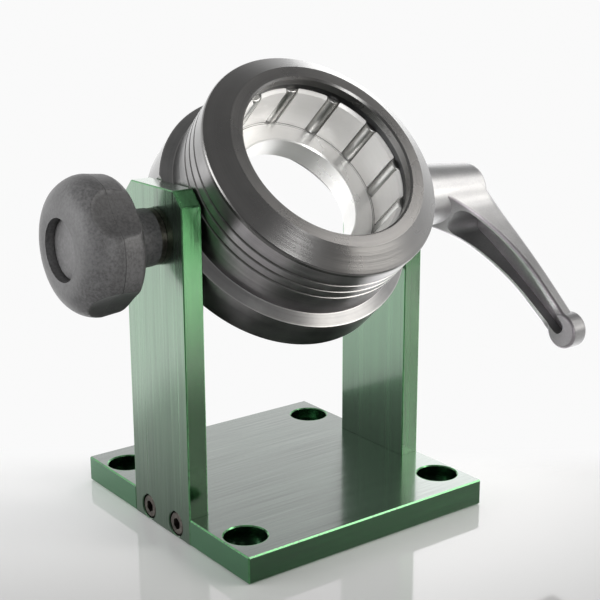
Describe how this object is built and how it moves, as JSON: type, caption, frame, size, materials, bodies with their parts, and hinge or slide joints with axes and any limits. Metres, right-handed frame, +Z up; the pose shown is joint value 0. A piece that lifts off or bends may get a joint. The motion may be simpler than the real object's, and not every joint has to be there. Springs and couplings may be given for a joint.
{
  "type": "tool holder tightening fixture",
  "caption": "Roller clamping head that tilts between two posts on a bolted base plate, held by a lobed knob and a clamping lever, for tightening a tool holder's nut.",
  "frame": {"origin": "centre of the base plate's underside", "axes": "+Z up, away from the bench; +X from the knob towards the lever, along the tilting axis; -Y towards the user, to whom the head leans"},
  "size_m": [0.1916, 0.1192, 0.168],
  "materials": {
    "green_aluminium": "brushed, green anodised",
    "black_steel": "turned, black oxide, satin",
    "cap_steel": "turned, grey-black oxide, satin",
    "dark_ring": "black oxide, satin",
    "bright_steel": "ground bright",
    "roller_steel": "ground and polished",
    "fastener_steel": "black oxide",
    "zinc_steel": "zinc plated",
    "knob_plastic": "fine moulded texture, charcoal",
    "lever_metal": "satin silver"
  },
  "bodies": {
    "base": {"base_plate": "green_aluminium", "left_post": "green_aluminium", "right_post": "green_aluminium", "left_post_screws": "fastener_steel", "right_post_screws": "fastener_steel"},
    "head": {"head_body": "black_steel", "front_cap": "cap_steel", "retaining_ring": "dark_ring", "roller_ring": "bright_steel", "seat_ring": "bright_steel"},
    "knob_carrier": {"knob_washer": "fastener_steel"},
    "knob_set": {"knob": "knob_plastic", "knob_cap": "knob_plastic", "knob_stud": "zinc_steel"},
    "lever_carrier": {"lever_washer": "zinc_steel"},
    "lever_insert_set": {"lever_insert": "zinc_steel", "lever_stud": "zinc_steel", "lever_screw": "fastener_steel"},
    "lever": {"lever_handle": "lever_metal"},
    "roller_01": {"roller_01": "roller_steel"},
    "roller_02": {"roller_02": "roller_steel"},
    "roller_03": {"roller_03": "roller_steel"},
    "roller_04": {"roller_04": "roller_steel"},
    "roller_05": {"roller_05": "roller_steel"},
    "roller_06": {"roller_06": "roller_steel"},
    "roller_07": {"roller_07": "roller_steel"},
    "roller_08": {"roller_08": "roller_steel"},
    "roller_09": {"roller_09": "roller_steel"},
    "roller_10": {"roller_10": "roller_steel"},
    "roller_11": {"roller_11": "roller_steel"},
    "roller_12": {"roller_12": "roller_steel"}
  },
  "joints": [
    {"name": "head_tilt", "type": "hinge", "parent": "base", "child": "head", "pos_m": [0, 0, 0.11], "axis": [1, 0, 0], "continuous": true},
    {"name": "knob_advance", "type": "slide", "parent": "head", "child": "knob_carrier", "axis": [-1, 0, 0], "range_m": [0, 0.00625]},
    {"name": "knob_turn", "type": "hinge", "parent": "knob_carrier", "child": "knob_set", "pos_m": [-0.0563, 0, 0.11], "axis": [-1, 0, 0], "range_deg": [0, 1800]},
    {"name": "lever_advance", "type": "slide", "parent": "head", "child": "lever_carrier", "axis": [1, 0, 0], "range_m": [0, 0.00625]},
    {"name": "lever_turn", "type": "hinge", "parent": "lever_carrier", "child": "lever_insert_set", "pos_m": [0.0558, 0, 0.11], "axis": [1, 0, 0], "range_deg": [0, 1800]},
    {"name": "lever_lift", "type": "slide", "parent": "lever_insert_set", "child": "lever", "axis": [1, 0, 0], "range_m": [0, 0.0045], "stiffness_N_per_m": 1200, "springref_m": -0.003},
    {"name": "roller_01_spin", "type": "hinge", "parent": "head", "child": "roller_01", "pos_m": [0.03173, -0.00924, 0.13688], "axis": [0, -0.7431, 0.6691], "continuous": true},
    {"name": "roller_02_spin", "type": "hinge", "parent": "head", "child": "roller_02", "pos_m": [0.02058, 0.00014, 0.1473], "axis": [0, -0.7431, 0.6691], "continuous": true},
    {"name": "roller_03_spin", "type": "hinge", "parent": "head", "child": "roller_03", "pos_m": [0.00392, 0.00454, 0.15218], "axis": [0, -0.7431, 0.6691], "continuous": true},
    {"name": "roller_04_spin", "type": "hinge", "parent": "head", "child": "roller_04", "pos_m": [-0.0138, 0.00277, 0.15021], "axis": [0, -0.7431, 0.6691], "continuous": true},
    {"name": "roller_05_spin", "type": "hinge", "parent": "head", "child": "roller_05", "pos_m": [-0.02781, -0.0047, 0.14192], "axis": [0, -0.7431, 0.6691], "continuous": true},
    {"name": "roller_06_spin", "type": "hinge", "parent": "head", "child": "roller_06", "pos_m": [-0.03438, -0.01585, 0.12954], "axis": [0, -0.7431, 0.6691], "continuous": true},
    {"name": "roller_07_spin", "type": "hinge", "parent": "head", "child": "roller_07", "pos_m": [-0.03173, -0.0277, 0.11638], "axis": [0, -0.7431, 0.6691], "continuous": true},
    {"name": "roller_08_spin", "type": "hinge", "parent": "head", "child": "roller_08", "pos_m": [-0.02058, -0.03708, 0.10596], "axis": [0, -0.7431, 0.6691], "continuous": true},
    {"name": "roller_09_spin", "type": "hinge", "parent": "head", "child": "roller_09", "pos_m": [-0.00392, -0.04147, 0.10108], "axis": [0, -0.7431, 0.6691], "continuous": true},
    {"name": "roller_10_spin", "type": "hinge", "parent": "head", "child": "roller_10", "pos_m": [0.0138, -0.0397, 0.10305], "axis": [0, -0.7431, 0.6691], "continuous": true},
    {"name": "roller_11_spin", "type": "hinge", "parent": "head", "child": "roller_11", "pos_m": [0.02781, -0.03224, 0.11133], "axis": [0, -0.7431, 0.6691], "continuous": true},
    {"name": "roller_12_spin", "type": "hinge", "parent": "head", "child": "roller_12", "pos_m": [0.03438, -0.02109, 0.12372], "axis": [0, -0.7431, 0.6691], "continuous": true}
  ],
  "couplings": [
    {"joint": "knob_advance", "follows": "knob_turn", "m_per_rad": 0.00019894},
    {"joint": "lever_advance", "follows": "lever_turn", "m_per_rad": 0.00019894}
  ]
}
